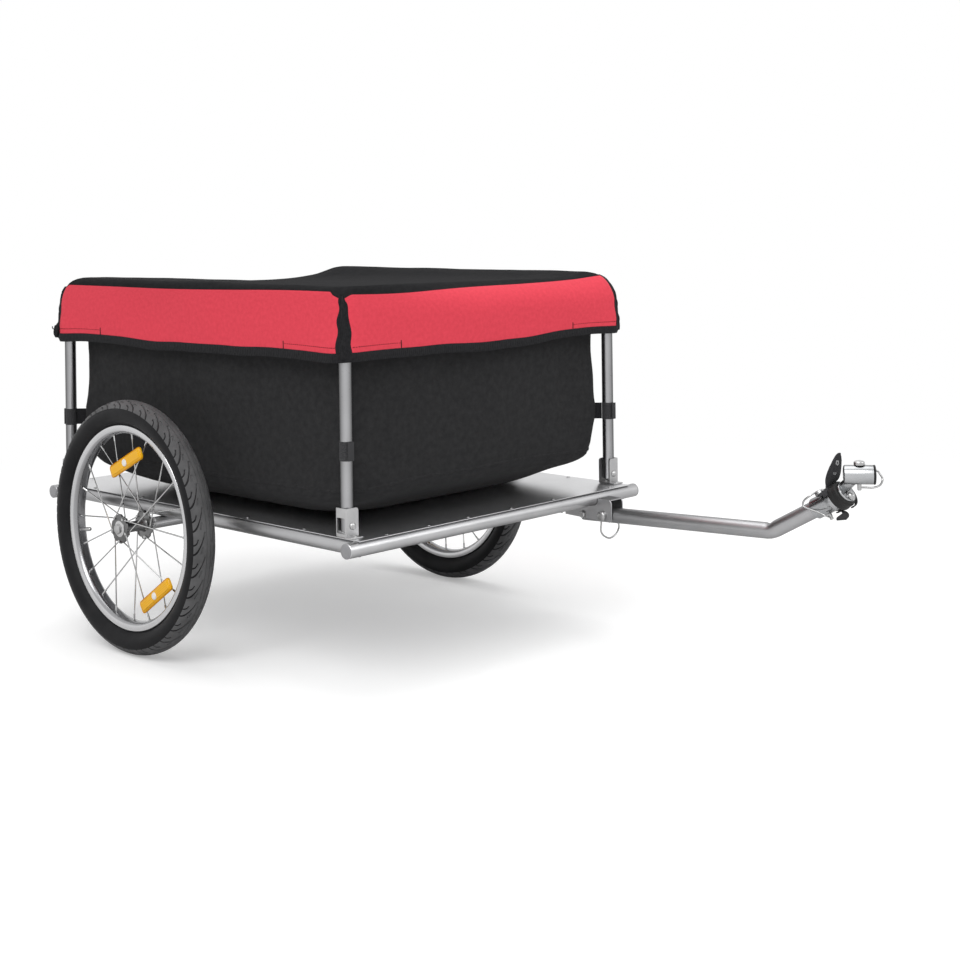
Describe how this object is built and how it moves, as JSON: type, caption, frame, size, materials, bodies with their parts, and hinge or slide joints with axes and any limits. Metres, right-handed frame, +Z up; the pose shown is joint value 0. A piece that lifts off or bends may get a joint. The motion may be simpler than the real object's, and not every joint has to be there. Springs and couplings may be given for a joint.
{
  "type": "bicycle cargo trailer",
  "caption": "Two-wheeled cargo trailer for a bicycle: steel deck frame with folding side frames, a cloth bag and cover, spoked wheels, and a cranked tow arm with a pinned hitch.",
  "frame": {"origin": "middle of the trailer's overall length and width, on the ground", "axes": "+X forward, from the deck to the hitch; +Y to the trailer's left; +Z up"},
  "size_m": [1.2963, 0.7766, 0.597],
  "materials": {
    "zinc_tube": "bright zinc-plated steel tube",
    "grey_tube": "satin grey steel tube",
    "plate": "zinc-plated sheet steel",
    "bolt_steel": "zinc-plated bolts and pins",
    "wire_steel": "bright spring wire",
    "tyre_rubber": "matt black tyre rubber",
    "rim_alloy": "polished alloy",
    "spoke_steel": "bright spokes and hub",
    "amber": "amber prismatic reflector",
    "black_cloth": "black woven polyester",
    "red_cloth": "red and black woven polyester",
    "webbing": "woven webbing",
    "hitch_alloy": "satin machined alloy",
    "flex_rubber": "black elastomer",
    "cap_plastic": "grey end caps"
  },
  "bodies": {
    "chassis": {"front_rail": "zinc_tube", "rear_rail": "zinc_tube", "right_side_rail": "zinc_tube", "left_side_rail": "zinc_tube", "axle_tube": "zinc_tube", "right_axle": "bolt_steel", "left_axle": "bolt_steel", "right_axle_nut": "bolt_steel", "left_axle_nut": "bolt_steel", "deck_panel": "plate", "right_front_bracket": "plate", "right_rear_bracket": "plate", "left_front_bracket": "plate", "left_rear_bracket": "plate", "right_front_pivot_bolt": "bolt_steel", "right_rear_pivot_bolt": "bolt_steel", "left_front_pivot_bolt": "bolt_steel", "left_rear_pivot_bolt": "bolt_steel", "tow_arm_bracket": "plate", "arm_pivot_bolt": "bolt_steel", "front_rail_right_cap": "cap_plastic", "front_rail_left_cap": "cap_plastic", "rear_rail_right_cap": "cap_plastic", "rear_rail_left_cap": "cap_plastic", "cargo_bag": "black_cloth"},
    "right_wheel": {"right_tyre": "tyre_rubber", "right_rim": "rim_alloy", "right_spoked_hub": "spoke_steel", "right_upper_reflector": "amber", "right_lower_reflector": "amber", "right_valve": "bolt_steel"},
    "left_wheel": {"left_tyre": "tyre_rubber", "left_rim": "rim_alloy", "left_spoked_hub": "spoke_steel", "left_upper_reflector": "amber", "left_lower_reflector": "amber", "left_valve": "bolt_steel"},
    "right_side_frame": {"right_front_post": "grey_tube", "right_rear_post": "grey_tube", "right_top_rail": "grey_tube", "right_front_strap": "webbing", "right_rear_strap": "webbing"},
    "left_side_frame": {"left_front_post": "grey_tube", "left_rear_post": "grey_tube", "left_top_rail": "grey_tube", "left_front_strap": "webbing", "left_rear_strap": "webbing"},
    "cover": {"cargo_cover": "red_cloth"},
    "tow_arm": {"tow_arm": "zinc_tube", "arm_end_cup": "hitch_alloy", "safety_strap": "webbing"},
    "lock_pin": {"lock_pin": "bolt_steel", "lock_pin_bail": "wire_steel"},
    "arm_pin": {"arm_pin": "bolt_steel", "arm_pin_bail": "wire_steel"},
    "flex_disc": {"flex_disc": "flex_rubber"},
    "coupler": {"coupler_barrel": "hitch_alloy", "coupler_bolt": "bolt_steel"},
    "hitch_pin": {"hitch_pin": "bolt_steel", "hitch_pin_bail": "wire_steel"}
  },
  "joints": [
    {"name": "right_wheel_spin", "type": "hinge", "parent": "chassis", "child": "right_wheel", "pos_m": [-0.35323, -0.356, 0.203], "axis": [0, 1, 0], "continuous": true},
    {"name": "left_wheel_spin", "type": "hinge", "parent": "chassis", "child": "left_wheel", "pos_m": [-0.35323, 0.356, 0.203], "axis": [0, 1, 0], "continuous": true},
    {"name": "right_side_fold", "type": "hinge", "parent": "chassis", "child": "right_side_frame", "pos_m": [-0.26223, -0.297, 0.2533], "axis": [-1, 0, 0], "range_deg": [0, 90], "deforming": ["cargo_bag"]},
    {"name": "left_side_fold", "type": "hinge", "parent": "chassis", "child": "left_side_frame", "pos_m": [-0.26223, 0.297, 0.2533], "axis": [1, 0, 0], "range_deg": [0, 84]},
    {"name": "cover_lift", "type": "slide", "parent": "chassis", "child": "cover", "axis": [0, 0, 1], "range_m": [0, 0.13], "deforming": ["cargo_cover"]},
    {"name": "tow_arm_swing", "type": "hinge", "parent": "chassis", "child": "tow_arm", "pos_m": [0.10777, 0.2325, 0.1958], "axis": [0, 1, 0], "range_deg": [0, 180]},
    {"name": "lock_pin_pull", "type": "slide", "parent": "tow_arm", "child": "lock_pin", "axis": [0, -1, 0], "range_m": [0, 0.045], "deforming": ["lock_pin_bail"]},
    {"name": "arm_pin_pull", "type": "slide", "parent": "tow_arm", "child": "arm_pin", "axis": [-0.4848, 0, 0.8746], "range_m": [0, 0.045], "deforming": ["arm_pin_bail"]},
    {"name": "coupler_yaw", "type": "hinge", "parent": "tow_arm", "child": "flex_disc", "pos_m": [0.58947, 0.2325, 0.27847], "axis": [0, 0, 1], "range_deg": [-25, 25], "stiffness_Nm_per_rad": 4, "deforming": ["flex_disc"]},
    {"name": "coupler_pitch", "type": "hinge", "parent": "flex_disc", "child": "coupler", "pos_m": [0.58947, 0.2325, 0.27847], "axis": [0, 1, 0], "range_deg": [-15, 15], "stiffness_Nm_per_rad": 4},
    {"name": "hitch_pin_pull", "type": "slide", "parent": "coupler", "child": "hitch_pin", "axis": [0, 0, 1], "range_m": [0, 0.045], "deforming": ["hitch_pin_bail"]}
  ],
  "couplings": [
    {"joint": "left_side_fold", "follows": "right_side_fold", "ratio": 0.9333}
  ]
}
